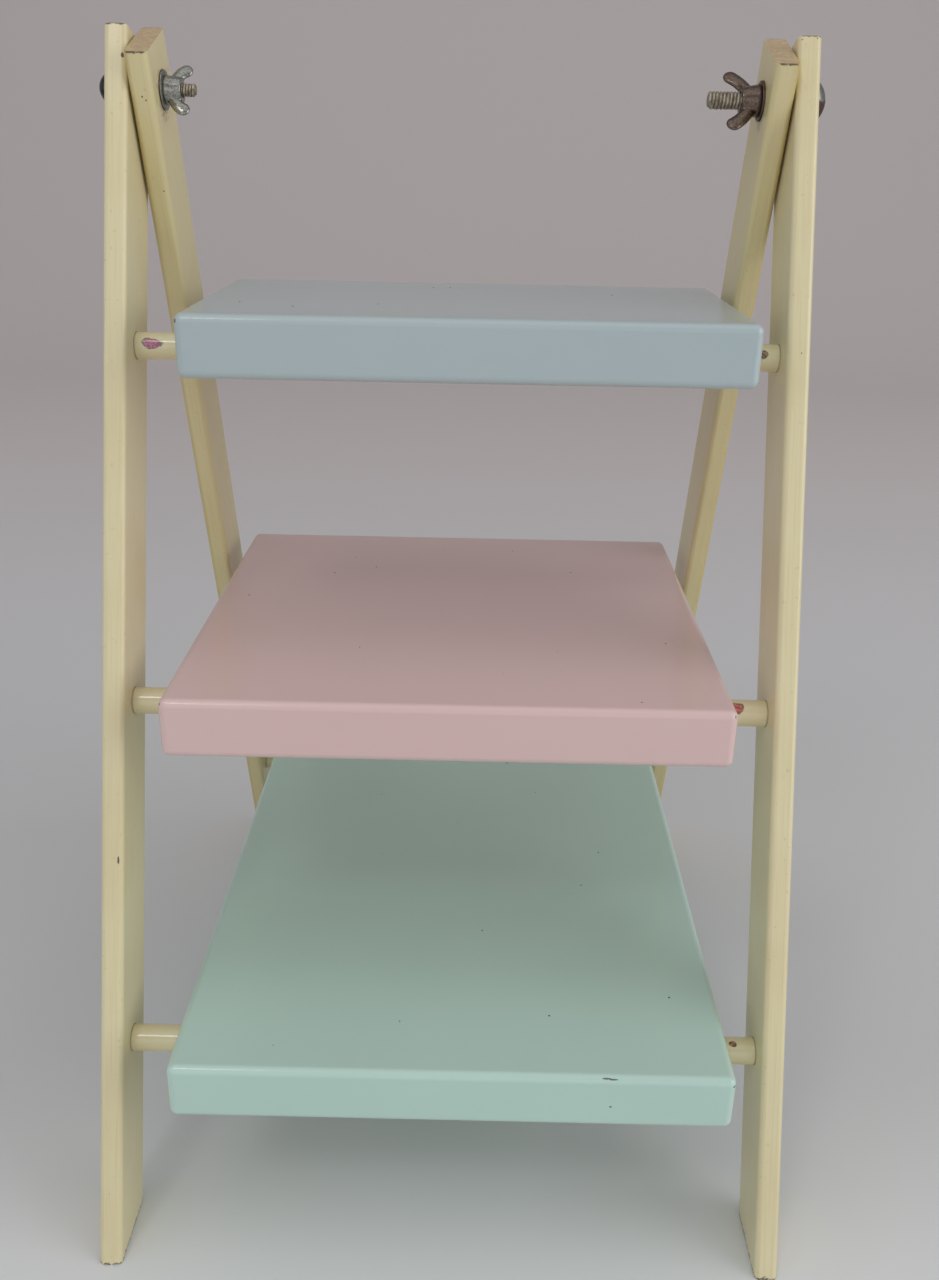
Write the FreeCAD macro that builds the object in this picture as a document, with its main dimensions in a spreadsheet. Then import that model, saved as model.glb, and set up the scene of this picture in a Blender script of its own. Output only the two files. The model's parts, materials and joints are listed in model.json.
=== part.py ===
import FreeCAD, Part
import os
import re
import Sketcher

# Folding tiered cake stand: a front frame and a narrower rear frame, hinged together
# at the top by two cup-head bolts with wing nuts, and three lift-off boards that lie
# on the frames' rungs.  Millimetres, +Z up, X to the right, +Y to the back.
# The origin is on the floor, midway between the four feet.

DIMENSIONS = [
    # frames
    ("overall_width", 250.0),          # over the outer faces of the front legs
    ("pivot_height", 399.5),           # floor to the axis of the bolts
    ("lean_angle", 19.65),             # of each frame from upright, degrees
    ("leg_width", 29.0),
    ("leg_thickness", 8.3),
    ("leg_top_reach", 16.9),           # leg beyond the pivot
    ("leg_edge_round", 2.0),
    ("frame_gap", 0.7),                # between a front leg and the rear leg beside it
    # rungs
    ("rung_diameter", 10.0),
    ("rung_end_chamfer", 0.8),
    ("socket_depth", 6.0),
    ("socket_clearance", 0.05),        # radial
    ("socket_end_gap", 0.2),
    ("upper_rung_reach", 91.3),        # from the pivot, down along the front leg
    ("middle_rung_reach", 221.3),
    ("lower_rung_reach", 349.0),
    # boards
    ("tray_side_gap", 8.4),            # from each side of a centred board to the rear leg
    ("upper_tray_shift", 4.4),         # each board lies loose, this far to the right
    ("middle_tray_shift", 0.0),
    ("lower_tray_shift", 3.6),
    ("tray_thickness", 22.0),
    ("tray_overhang", 33.5),           # front edge ahead of the front rung's axis
    ("upper_tray_rear_overhang", 11.7),
    ("middle_tray_rear_overhang", 2.3),
    ("lower_tray_rear_overhang", 2.3),
    ("tray_edge_round", 3.0),
    ("rung_in_tray", 5.7),             # front rung's axis above the board's underside
    ("tray_clearance", 0.3),
    # bolts, washers and wing nuts; the two bolts are of two different sizes
    ("left_thread_diameter", 4.8),
    ("right_thread_diameter", 6.35),
    ("pivot_clearance", 0.08),         # radial, bolt in the legs' and nuts' holes
    ("left_head_diameter", 12.0),
    ("left_head_height", 5.6),
    ("right_head_diameter", 16.0),
    ("right_head_height", 5.4),
    ("bolt_neck_length", 4.0),
    ("bolt_tip_chamfer", 0.7),
    ("left_bolt_spare", 4.8),          # thread past the nut's hub
    ("right_bolt_spare", 11.6),
    ("washer_diameter", 13.5),
    ("washer_thickness", 0.9),
    ("washer_clearance", 0.2),         # radial
    ("left_nut_base_diameter", 9.8),
    ("left_nut_top_diameter", 8.6),
    ("left_nut_hub_height", 6.1),
    ("left_wing_span", 20.6),
    ("left_wing_height", 9.2),
    ("left_wing_ear_radius", 2.4),
    ("right_nut_base_diameter", 11.0),
    ("right_nut_top_diameter", 9.0),
    ("right_nut_hub_height", 6.8),
    ("right_wing_span", 27.0),
    ("right_wing_height", 12.2),
    ("right_wing_ear_radius", 2.7),
    ("wing_thickness", 2.4),
    ("wing_root_height", 0.8),
]

# Each side of the stand: the way outwards along X, and the wings' turn from upright.
SIDES = {"left": -1, "right": 1}
WING_TURN = {"left": -36.0, "right": 44.0}
# Each frame: the way its feet point along Y.
FRAMES = {"front": -1, "rear": 1}
LEVELS = ["upper", "middle", "lower"]

# Places worked out from the driving dimensions, as expression text.
FRONT_OUTER = "(overall_width / 2)"
FRONT_INNER = "(overall_width / 2 - leg_thickness)"
REAR_OUTER = f"({FRONT_INNER} - frame_gap)"
REAR_INNER = f"({REAR_OUTER} - leg_thickness)"
INNER_FACE = {"front": FRONT_INNER, "rear": REAR_INNER}
WASHER_FACE = f"({REAR_INNER} - washer_thickness)"
BOLT_GRIP = f"({FRONT_OUTER} - {WASHER_FACE})"
TRAY_WIDTH = f"(2 * ({REAR_INNER} - tray_side_gap))"
SHANK_RADIUS = {side: f"({side}_thread_diameter / 2)" for side in SIDES}
HOLE_RADIUS = {side: f"({SHANK_RADIUS[side]} + pivot_clearance)" for side in SIDES}
SOCKET_RADIUS = "(rung_diameter / 2 + socket_clearance)"
GROOVE_RADIUS = "(rung_diameter / 2 + tray_clearance)"
# A rear rung is lower than its front one by what lets a level board lie on both.
REAR_DROP = "((rung_in_tray + rung_diameter / 2 + tray_clearance) / cos(lean_angle))"

doc = FreeCAD.newDocument("cake_stand")
sheet = doc.addObject("Spreadsheet::Sheet", "Dimensions")
for row, (alias, value) in enumerate(DIMENSIONS, start=1):
    sheet.set(f"A{row}", alias)
    sheet.set(f"B{row}", str(value))
    sheet.setAlias(f"B{row}", alias)
doc.recompute()

ALIASES = [alias for alias, value in DIMENSIONS]
ALIAS_PATTERN = re.compile(r"\b(" + "|".join(ALIASES) + r")\b")


def bound(expression):
    """The expression with each dimension's name pointing at its cell."""
    return ALIAS_PATTERN.sub(r"Dimensions.\1", str(expression))


def value_of(expression):
    """The expression's value with the sheet's present numbers."""
    return float(sheet.evalExpression(str(expression)))


def drive(thing, path, expression):
    """Bind one property of an object to the sheet."""
    thing.setExpression(path, bound(expression))


def reach(frame, level):
    """Distance from the pivot down along the leg to a rung's axis."""
    drop = REAR_DROP if frame == "rear" else "0"
    return f"({level}_rung_reach + {drop})"


def rung_y(frame, level):
    return f"({FRAMES[frame]} * {reach(frame, level)} * sin(lean_angle))"


def rung_z(frame, level):
    return f"(pivot_height - {reach(frame, level)} * cos(lean_angle))"


def new_body(node):
    body = doc.addObject("PartDesign::Body", node)
    body.Label = node
    return body


def place(body, x=0, y=0, z=0, rotation=None):
    """Set a body's turn, then bind its place to the sheet."""
    body.Placement = FreeCAD.Placement(FreeCAD.Vector(), rotation or FreeCAD.Rotation())
    for axis, expression in zip("xyz", (x, y, z)):
        drive(body, f"Placement.Base.{axis}", expression)


def new_sketch(body, name, plane, offset=None):
    """A sketch on one of the body's own origin planes, or offset from it."""
    sketch = body.newObject("Sketcher::SketchObject", name)
    support = [item for item in body.Origin.OriginFeatures if item.Role == plane][0]
    sketch.AttachmentSupport = [(support, "")]
    sketch.MapMode = "FlatFace"
    if offset is not None:
        drive(sketch, "AttachmentOffset.Base.z", offset)
    return sketch


def fix(sketch, kind, geometry, point, expression):
    """Bind the X or Y coordinate of a sketch point to the sheet."""
    value = value_of(expression)
    number = sketch.addConstraint(Sketcher.Constraint(kind, -1, 1, geometry, point, value))
    drive(sketch, f"Constraints[{number}]", expression)


def outline(sketch, corners, bulges=None):
    """A closed outline through corners given as expressions.

    bulges maps the number of an edge that is an arc to one coordinate of its centre,
    the name of that coordinate's constraint, and a point that the arc goes through.
    """
    bulges = bulges or {}
    points = [FreeCAD.Vector(value_of(x), value_of(y), 0) for x, y in corners]
    ends = {}
    for index, start in enumerate(points):
        stop = points[(index + 1) % len(points)]
        if index not in bulges:
            sketch.addGeometry(Part.LineSegment(start, stop))
            ends[index] = (1, 2)
            continue
        centre, kind, through = bulges[index]
        middle = FreeCAD.Vector(value_of(through[0]), value_of(through[1]), 0)
        sketch.addGeometry(Part.Arc(start, middle, stop))
        begins_at_start = sketch.getPoint(index, 1).distanceToPoint(start) < 1e-6
        ends[index] = (1, 2) if begins_at_start else (2, 1)
    for index in range(len(points)):
        following = (index + 1) % len(points)
        joint = ("Coincident", index, ends[index][1], following, ends[following][0])
        sketch.addConstraint(Sketcher.Constraint(*joint))
    for index, (x, y) in enumerate(corners):
        fix(sketch, "DistanceX", index, ends[index][0], x)
        fix(sketch, "DistanceY", index, ends[index][0], y)
    for index, (centre, kind, through) in bulges.items():
        fix(sketch, kind, index, 3, centre)


def circle(sketch, x, y, radius):
    """A circle whose centre and radius are bound to the sheet."""
    centre = FreeCAD.Vector(value_of(x), value_of(y), 0)
    shape = Part.Circle(centre, FreeCAD.Vector(0, 0, 1), value_of(radius))
    index = sketch.addGeometry(shape)
    fix(sketch, "DistanceX", index, 3, x)
    fix(sketch, "DistanceY", index, 3, y)
    number = sketch.addConstraint(Sketcher.Constraint("Radius", index, value_of(radius)))
    drive(sketch, f"Constraints[{number}]", radius)


def rectangle(sketch, half_width, half_height, x="0", y="0"):
    left, right = f"{x} - {half_width}", f"{x} + {half_width}"
    low, high = f"{y} - {half_height}", f"{y} + {half_height}"
    outline(sketch, [(left, low), (right, low), (right, high), (left, high)])


def feature(body, kind, name, profile, reverse=False, **settings):
    """Add a sketch-based feature and make it the body's tip."""
    item = body.newObject(f"PartDesign::{kind}", name)
    item.Profile = profile
    item.Reversed = reverse
    for key, setting in settings.items():
        if key == "Length":
            drive(item, key, setting)
        else:
            setattr(item, key, setting)
    body.Tip = item
    doc.recompute()
    return item


def cut(body, name, profile, reverse, **settings):
    """Pocket a sketch, and make sure that it takes material away."""
    before = body.Shape.Volume
    item = feature(body, "Pocket", name, profile, reverse, **settings)
    if body.Shape.Volume >= before - 1e-6:
        raise RuntimeError(f"{body.Label}: {name} cuts nothing")
    return item


def round_edges(body, name, radius, wanted, kind="Fillet"):
    """Fillet or chamfer the edges of the tip that the test picks out."""
    base = body.Tip
    edges = base.Shape.Edges
    names = [f"Edge{number}" for number, edge in enumerate(edges, 1) if wanted(edge)]
    item = body.newObject(f"PartDesign::{kind}", name)
    item.Base = (base, names)
    drive(item, "Radius" if kind == "Fillet" else "Size", radius)
    body.Tip = item
    doc.recompute()
    return item


def revolve(body, name, sketch):
    """Turn a sketch about its own vertical axis into a round solid."""
    item = body.newObject("PartDesign::Revolution", name)
    item.Profile = sketch
    item.ReferenceAxis = (sketch, ["V_Axis"])
    item.Angle = 360.0
    body.Tip = item
    doc.recompute()
    return item


# ---- legs ------------------------------------------------------------------


def make_leg(frame, side):
    """A flat leg, square at the top and cut level at the foot.

    Its own origin is on the pivot axis at the inner face, with Z up along the leg.
    """
    outward = SIDES[side]
    feet = FRAMES[frame]
    body = new_body(f"{frame}_leg_{side}")
    half = "leg_width / 2"
    foot = "-(pivot_height / cos(lean_angle))"
    slope = f"{feet} * {half} * tan(lean_angle)"
    side_view = new_sketch(body, "leg_side_view", "YZ_Plane")
    outline(side_view, [
        (f"-{half}", f"{foot} + {slope}"),
        (half, f"{foot} - {slope}"),
        (half, "leg_top_reach"),
        (f"-{half}", "leg_top_reach"),
    ])
    feature(body, "Pad", "leg_board", side_view, outward < 0, Length="leg_thickness")
    # The long edges are rounded; the sawn ends stay sharp.
    is_long = lambda edge: edge.Length > 2 * value_of("leg_width")
    round_edges(body, "soft_edges", "leg_edge_round", is_long)

    sockets = new_sketch(body, "rung_socket_circles", "YZ_Plane")
    for level in LEVELS:
        circle(sockets, "0", f"-{reach(frame, level)}", SOCKET_RADIUS)
    cut(body, "rung_sockets", sockets, outward > 0, Length="socket_depth")

    bolt_hole = new_sketch(body, "pivot_hole_circle", "YZ_Plane")
    circle(bolt_hole, "0", "0", HOLE_RADIUS[side])
    cut(body, "pivot_hole", bolt_hole, outward > 0, Type="ThroughAll")

    if frame == "front":
        # The bolt's square neck is drawn into the outer face.
        face = f"{outward} * leg_thickness"
        recess = new_sketch(body, "neck_recess_square", "YZ_Plane", face)
        rectangle(recess, HOLE_RADIUS[side], HOLE_RADIUS[side])
        cut(body, "neck_recess", recess, outward < 0, Length="bolt_neck_length")

    turn = FreeCAD.Rotation(FreeCAD.Vector(feet, 0, 0), value_of("lean_angle"))
    place(body, f"{outward} * {INNER_FACE[frame]}", "0", "pivot_height", turn)
    drive(body, "Placement.Rotation.Angle", "lean_angle")
    return body


# ---- rungs -----------------------------------------------------------------


def make_rung(frame, level):
    """A round rung whose ends are glued into the legs' sockets."""
    body = new_body(f"{frame}_rung_{level}")
    section = new_sketch(body, "rung_section", "YZ_Plane")
    circle(section, "0", "0", "rung_diameter / 2")
    length = f"2 * ({INNER_FACE[frame]} + socket_depth - socket_end_gap)"
    feature(body, "Pad", "rung_rod", section, SideType="Symmetric", Length=length)
    size = "rung_end_chamfer"
    is_round = lambda edge: edge.Curve.TypeId == "Part::GeomCircle"
    round_edges(body, "end_chamfers", size, is_round, "Chamfer")
    place(body, "0", rung_y(frame, level), rung_z(frame, level))
    return body


# ---- boards ----------------------------------------------------------------


def make_tray(level):
    """A flat board with a groove across its underside for the front rung.

    Its own origin is on the front rung's axis.
    """
    body = new_body(f"tray_{level}")
    front = "-tray_overhang"
    spread = f"({rung_y('rear', level)} - {rung_y('front', level)})"
    back = f"({spread} + {level}_tray_rear_overhang)"
    under = "-rung_in_tray"
    top = "(tray_thickness - rung_in_tray)"
    side_view = new_sketch(body, "board_side_view", "YZ_Plane")
    corners = [
        (front, under),
        (f"-{GROOVE_RADIUS}", under),
        (f"-{GROOVE_RADIUS}", "0"),
        (GROOVE_RADIUS, "0"),
        (GROOVE_RADIUS, under),
        (back, under),
        (back, top),
        (front, top),
    ]
    groove_crown = {2: ("0", "DistanceY", ("0", GROOVE_RADIUS))}
    outline(side_view, corners, groove_crown)
    feature(body, "Pad", "board", side_view, SideType="Symmetric", Length=TRAY_WIDTH)

    groove_reach = value_of(GROOVE_RADIUS) + 1e-3

    def is_outer(edge):
        """True away from the groove's mouth, walls and crown."""
        box = edge.BoundBox
        return box.YMin > groove_reach or box.YMax < -groove_reach or is_on_top(box)

    def is_on_top(box):
        return box.ZMin > value_of(top) - 1e-3

    round_edges(body, "soft_edges", "tray_edge_round", is_outer)
    place(body, f"{level}_tray_shift", rung_y("front", level), rung_z("front", level))
    return body


# ---- bolts, washers and wing nuts ------------------------------------------


def facing_inwards(side, turn=0.0):
    """The turn that lays a piece's own Z along the bolt, towards the middle."""
    along = FreeCAD.Rotation(FreeCAD.Vector(0, 1, 0), -90.0 * SIDES[side])
    return along.multiply(FreeCAD.Rotation(FreeCAD.Vector(0, 0, 1), turn))


def make_bolt(side):
    """A cup-head square-neck bolt; its own origin is under the head."""
    body = new_body(f"pivot_bolt_{side}")
    shank = SHANK_RADIUS[side]
    tip = f"({BOLT_GRIP} + {side}_nut_hub_height + {side}_bolt_spare)"
    head = f"({side}_head_diameter / 2)"
    crown = f"{side}_head_height"
    dome_radius = f"(({head} ^ 2 + {crown} ^ 2) / (2 * {crown}))"
    half_way = f"{dome_radius} * sin(30)"
    half_drop = f"{dome_radius} * (1 - cos(30))"
    profile = new_sketch(body, "bolt_profile", "XZ_Plane")
    corners = [
        ("0", f"-{crown}"),
        (head, "0"),
        (shank, "0"),
        (shank, f"{tip} - bolt_tip_chamfer"),
        (f"{shank} - bolt_tip_chamfer", tip),
        ("0", tip),
    ]
    dome = {0: ("0", "DistanceX", (half_way, f"{half_drop} - {crown}"))}
    outline(profile, corners, dome)
    revolve(body, "head_and_shank", profile)
    neck = new_sketch(body, "neck_square", "XY_Plane")
    rectangle(neck, shank, shank)
    neck_length = "bolt_neck_length - pivot_clearance"
    feature(body, "Pad", "square_neck", neck, Length=neck_length)
    # The neck's flats lie along the front leg's edges.
    lean = FreeCAD.Rotation(FreeCAD.Vector(FRAMES["front"], 0, 0), value_of("lean_angle"))
    turn = lean.multiply(facing_inwards(side))
    place(body, f"{SIDES[side]} * {FRONT_OUTER}", "0", "pivot_height", turn)
    return body


def make_washer(side):
    body = new_body(f"washer_{side}")
    ring = new_sketch(body, "washer_ring", "XY_Plane")
    circle(ring, "0", "0", "washer_diameter / 2")
    circle(ring, "0", "0", f"{SHANK_RADIUS[side]} + washer_clearance")
    feature(body, "Pad", "washer_plate", ring, Length="washer_thickness")
    place(body, f"{SIDES[side]} * {REAR_INNER}", "0", "pivot_height", facing_inwards(side))
    return body


def make_wing_nut(side):
    """A tapered hub with two flared ears; its own origin is on the bearing face."""
    body = new_body(f"wing_nut_{side}")
    hub = new_sketch(body, "hub_profile", "XZ_Plane")
    bore = HOLE_RADIUS[side]
    top = f"{side}_nut_hub_height"
    outline(hub, [
        (bore, "0"),
        (f"{side}_nut_base_diameter / 2", "0"),
        (f"{side}_nut_top_diameter / 2", top),
        (bore, top),
    ])
    revolve(body, "tapered_hub", hub)

    ear_x = f"({side}_wing_span / 2 - {side}_wing_ear_radius)"
    ear_z = f"({side}_wing_height - {side}_wing_ear_radius)"
    root = f"({bore} + {side}_nut_top_diameter / 2) / 2"
    slant = f"{side}_wing_ear_radius * sin(45)"
    wing = new_sketch(body, "wing_outline", "XZ_Plane")
    corners = [
        (root, "wing_root_height"),
        (f"{ear_x} + {slant}", f"{ear_z} - {slant}"),
        (f"{ear_x} - {slant}", f"{ear_z} + {slant}"),
        (root, f"{top} - wing_root_height"),
    ]
    ear = {1: (ear_x, "DistanceX", (f"{ear_x} + {slant}", f"{ear_z} + {slant}"))}
    outline(wing, corners, ear)
    plate = "wing_thickness"
    feature(body, "Pad", "wing", wing, SideType="Symmetric", Length=plate)

    mirrored = body.newObject("PartDesign::Mirrored", "other_wing")
    mirrored.Originals = [body.Tip]
    middle = [item for item in body.Origin.OriginFeatures if item.Role == "YZ_Plane"][0]
    mirrored.MirrorPlane = (middle, [""])
    body.Tip = mirrored
    doc.recompute()

    turn = facing_inwards(side, WING_TURN[side])
    place(body, f"{SIDES[side]} * {WASHER_FACE}", "0", "pivot_height", turn)
    return body


bodies = []
for frame in FRAMES:
    for side in SIDES:
        bodies.append(make_leg(frame, side))
    for level in LEVELS:
        bodies.append(make_rung(frame, level))
for level in LEVELS:
    bodies.append(make_tray(level))
for side in SIDES:
    bodies.append(make_bolt(side))
    bodies.append(make_washer(side))
    bodies.append(make_wing_nut(side))
doc.recompute()

for item in doc.Objects:
    if "Invalid" in item.State or "Error" in item.State:
        raise RuntimeError(f"{item.Label} failed: {item.State}")
for body in bodies:
    if body.Shape.isNull() or not body.Shape.isValid() or len(body.Shape.Solids) != 1:
        raise RuntimeError(f"{body.Label} isn't one valid solid")

os.makedirs("parts", exist_ok=True)
for body in bodies:
    body.Shape.exportStep(f"parts/{body.Label}.step")
    print(f"{body.Label}: {body.Shape.Volume:.1f} mm3")
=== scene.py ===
import json
import math
import random

import bmesh
import bpy
from mathutils import Matrix, Vector, noise


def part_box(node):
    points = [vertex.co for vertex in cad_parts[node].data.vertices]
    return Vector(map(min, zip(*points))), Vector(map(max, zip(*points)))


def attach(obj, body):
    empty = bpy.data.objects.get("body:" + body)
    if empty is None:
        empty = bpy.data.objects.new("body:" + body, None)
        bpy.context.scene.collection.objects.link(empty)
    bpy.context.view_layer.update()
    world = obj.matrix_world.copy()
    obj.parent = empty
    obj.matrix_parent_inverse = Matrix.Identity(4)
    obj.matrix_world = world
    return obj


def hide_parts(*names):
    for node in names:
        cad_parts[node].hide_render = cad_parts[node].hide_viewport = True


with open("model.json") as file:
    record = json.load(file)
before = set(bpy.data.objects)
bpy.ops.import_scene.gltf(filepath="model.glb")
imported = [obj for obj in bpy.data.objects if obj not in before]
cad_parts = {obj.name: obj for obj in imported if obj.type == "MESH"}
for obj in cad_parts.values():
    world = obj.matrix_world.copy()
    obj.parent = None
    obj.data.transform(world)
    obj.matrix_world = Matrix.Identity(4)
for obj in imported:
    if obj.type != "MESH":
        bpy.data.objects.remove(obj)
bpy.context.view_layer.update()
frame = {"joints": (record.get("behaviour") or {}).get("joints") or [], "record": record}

# A folding tiered cake stand: two hinged frames of painted wood, three painted boards
# that lie on the rungs, and the two bolts with washers and wing nuts that hinge them.
# Metres; X to the right, Y to the back, Z up.

MM = 0.001

RECORD = frame["record"]
JOINTS = {joint["name"]: joint for joint in frame["joints"]}
BODY_OF = {
    node: body for body, nodes in RECORD["behaviour"]["bodies"].items() for node in nodes
}

SIDES = {"left": -1, "right": 1}
FRAMES = {"front": -1, "rear": 1}
LEVELS = ("upper", "middle", "lower")

# ---- sizes -----------------------------------------------------------------

HINGE = Vector(JOINTS["fold"]["pos_m"])
LEAN = math.radians(19.65)
LEG_WIDTH = 29.0 * MM
LEG_TOP_REACH = 16.9 * MM
LEG_EDGE_ROUND = 2.0 * MM
SAWN_EDGE_ROUND = 0.35 * MM
RUNG_RADIUS = 5.0 * MM
SOCKET_RADIUS = 5.05 * MM
SOCKET_DEPTH = 6.0 * MM
GROOVE_RADIUS = 5.3 * MM
TRAY_EDGE_ROUND = 3.0 * MM
NEAR = 0.01 * MM

# The share of a rung's radius by which its paint is thinner at most.
RUNG_DIP = 0.016
RUNG_CHAMFER = 0.8 * MM

THREAD_RADIUS = {"left": 2.4 * MM, "right": 3.175 * MM}
THREAD_PITCH = {"left": 1.058 * MM, "right": 1.27 * MM}
HOLE_CLEARANCE = 0.08 * MM
NECK_LENGTH = 3.9 * MM
TIP_CHAMFER = 0.7 * MM

NUT_BASE_RADIUS = {"left": 4.9 * MM, "right": 5.5 * MM}
NUT_TOP_RADIUS = {"left": 4.3 * MM, "right": 4.5 * MM}
NUT_HUB_HEIGHT = {"left": 6.1 * MM, "right": 6.8 * MM}
EAR_RADIUS = {"left": 2.4 * MM, "right": 2.7 * MM}
EAR_SPAN = {"left": 20.6 * MM, "right": 27.0 * MM}
EAR_TURN = {"left": math.radians(-36.0), "right": math.radians(44.0)}
EAR_HALF_THICKNESS = 1.15 * MM

NIBS_PER_M2 = 320.0
NIB_RADII = (0.16 * MM, 0.46 * MM)
NIB_HEIGHT = 0.12 * MM

# ---- shader writing --------------------------------------------------------


def tone(red, green, blue):
    """A display colour of 0 to 255 a channel, as the linear colour that shaders take."""

    def linear(channel):
        share = channel / 255
        return share / 12.92 if share <= 0.04045 else ((share + 0.055) / 1.055) ** 2.4

    return (linear(red), linear(green), linear(blue), 1.0)


class Wire:
    """A value in a finish. Sums and products of wires become Math nodes."""

    def __init__(self, finish, socket):
        self.finish = finish
        self.socket = socket

    def math(self, operation, *values):
        settings = {"operation": operation}
        return self.finish.node("ShaderNodeMath", settings, dict(enumerate(values)))

    def __add__(self, other):
        return self.math("ADD", self, other)

    __radd__ = __add__

    def __sub__(self, other):
        return self.math("SUBTRACT", self, other)

    def __rsub__(self, other):
        return self.math("SUBTRACT", other, self)

    def __mul__(self, other):
        return self.math("MULTIPLY", self, other)

    __rmul__ = __mul__

    def __abs__(self):
        return self.math("ABSOLUTE", self)

    def least(self, other):
        return self.math("MINIMUM", self, other)

    def most(self, other):
        return self.math("MAXIMUM", self, other)

    def beside(self, other):
        """The length of the diagonal over two distances."""
        return self.math("SQRT", self * self + other * other)

    def rise(self, low, high):
        """0 below low, 1 above high, and a smooth step between them."""
        settings = {"interpolation_type": "SMOOTHSTEP"}
        inputs = {"Value": self, "From Min": low, "From Max": high}
        return self.finish.node("ShaderNodeMapRange", settings, inputs)

    def fall(self, low, high):
        """1 below low and 0 above high."""
        return 1 - self.rise(low, high)


class Finish:
    """A material that is being written, with its Principled shader."""

    def __init__(self, name):
        self.material = bpy.data.materials.new(name)
        self.material.use_nodes = True
        self.tree = self.material.node_tree
        self.shader = self.tree.nodes["Principled BSDF"]
        self.place = self.node("ShaderNodeTexCoord", output="Object")

    def node(self, kind, settings=None, inputs=None, output=0):
        """Add a node: its settings first, then the values or links of its sockets."""
        made = self.tree.nodes.new(kind)
        for key, value in (settings or {}).items():
            setattr(made, key, value)
        for key, value in (inputs or {}).items():
            self.feed(made.inputs[key], value)
        return Wire(self, made.outputs[output])

    def feed(self, socket, value):
        if isinstance(value, Wire):
            self.tree.links.new(value.socket, socket)
        else:
            socket.default_value = value

    def surface(self, **values):
        """Set sockets of the Principled shader: base_color is Base Color, and so on."""
        for key, value in values.items():
            self.feed(self.shader.inputs[key.replace("_", " ").title()], value)
        return self.material

    def vector(self, operation, *values, output=0):
        settings = {"operation": operation}
        inputs = dict(enumerate(values))
        return self.node("ShaderNodeVectorMath", settings, inputs, output)

    def stretched(self, place, scales):
        return self.vector("MULTIPLY", place, scales)

    def turned(self, centre, turn):
        """Places measured from a centre, in axes turned about it."""
        settings = {"vector_type": "TEXTURE"}
        inputs = {"Vector": self.place, "Location": centre, "Rotation": turn}
        return self.node("ShaderNodeMapping", settings, inputs)

    def axes(self, place):
        """The X, Y and Z of a place."""
        outputs = ("X", "Y", "Z")
        return [self.node("ShaderNodeSeparateXYZ", None, {0: place}, axis) for axis in outputs]

    def cloud(self, place, scale, detail=2.0, roughness=0.5):
        """Noise of 0 to 1 with lumps of about 1 / scale."""
        inputs = {"Vector": place, "Scale": scale, "Detail": detail, "Roughness": roughness}
        return self.node("ShaderNodeTexNoise", None, inputs, "Fac")

    def blend(self, first, second, share):
        """One colour laid over another by a share of 0 to 1."""
        settings = {"data_type": "RGBA", "clamp_factor": True}
        inputs = {0: share, 6: first, 7: second}
        return self.node("ShaderNodeMix", settings, inputs, 2)

    def relief(self, height, depth, under=None):
        """A bump of a real depth for a height of 0 to 1."""
        inputs = {"Strength": 1.0, "Distance": depth, "Height": height}
        if under is not None:
            inputs["Normal"] = under
        return self.node("ShaderNodeBump", None, inputs, "Normal")

    def spot(self, centre, radii, ragged=0.6, grain=900.0):
        """A ragged-edged mark: 1 inside it and 0 outside."""
        offset = self.vector("SUBTRACT", self.place, tuple(centre))
        scaled = self.vector("DIVIDE", offset, tuple(radii))
        reach = self.vector("LENGTH", scaled, output="Value")
        torn = reach + (self.cloud(self.place, grain, 3.0) - 0.5) * ragged * 2
        return torn.fall(0.9, 1.05)

    def spots(self, marks, ragged=0.6, grain=900.0):
        """Several marks, each a centre and its radii, as one mask."""
        mask = 0.0
        for centre, radii in marks:
            spot = self.spot(centre, radii, ragged, grain)
            mask = spot.most(mask)
        return mask


# ---- paint and metal -------------------------------------------------------

CREAM = tone(228, 217, 176)
CREAM_THIN = tone(211, 190, 139)
# Painted shade: the rear legs' cream, darker and yellower than the front legs' paint.
CREAM_PAINTED_SHADE = tone(222, 209, 160)
BARE_WOOD = tone(112, 78, 52)
GRIME = tone(58, 44, 30)
OLD_PINK = tone(176, 84, 142)
OLD_RED = tone(176, 56, 60)
OLD_BROWN = tone(92, 52, 38)
DULL_RED = tone(112, 42, 38)
# Painted shade: the ochre of light bounced between the cream legs in the crevice.
PAINTED_CREVICE_SHADE = tone(176, 150, 66)
END_TAN = tone(188, 158, 118)
RUST_STAIN = tone(132, 84, 48)


# Old paint bared on each front rung past its board's right end: how far past in mm, how
# far up round the rung from its front in degrees, its reach in mm and its colour.
BARED_END = {
    "upper": (6.6, 24.0, 1.9, OLD_BROWN),
    "middle": (5.9, 48.0, 2.9, OLD_RED),
    "lower": (5.4, 70.0, 1.4, DULL_RED),
}
# The wide one by the upper rung's left leg: how far in and round, and half sizes.
BARED_PINK = (6.6, 20.0, (3.9, 3.0, 1.9))

# Nicks in the legs' front edges, in mm: X, how far up the leg from the hinge, half sizes.
SMALL_NICK = (0.25, 0.6, 0.25)
REAR_NICK = (0.28, 0.6, 0.28)
LEG_NICKS = {
    ("front", "left"): (
        (-118.5, -278.0, (0.35, 1.0, 1.6)),
        (-118.2, 6.0, (0.5, 0.9, 0.9)),
    ),
    ("front", "right"): (
        (123.2, 15.9, SMALL_NICK), (118.0, 15.4, SMALL_NICK), (121.6, -92.0, SMALL_NICK),
    ),
    ("rear", "left"): (
        (-110.6, 1.0, REAR_NICK), (-111.8, 2.2, REAR_NICK), (-109.6, -31.0, REAR_NICK),
    ),
    ("rear", "right"): (),
}
# The brown stain round each bolt on a rear leg's inner face: half sizes in mm.
BOLT_STAIN = {"left": (2.0, 7.6, 7.8), "right": (2.0, 7.4, 7.6)}

# Each board's paint, and a paler tone for its random patches and for the painted highlight along
# its edges.
BOARD_COLOURS = {
    "upper": (tone(173, 188, 191), tone(193, 203, 202)),
    "middle": (tone(222, 190, 187), tone(233, 206, 204)),
    "lower": (tone(185, 216, 204), tone(204, 230, 221)),
}
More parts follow.
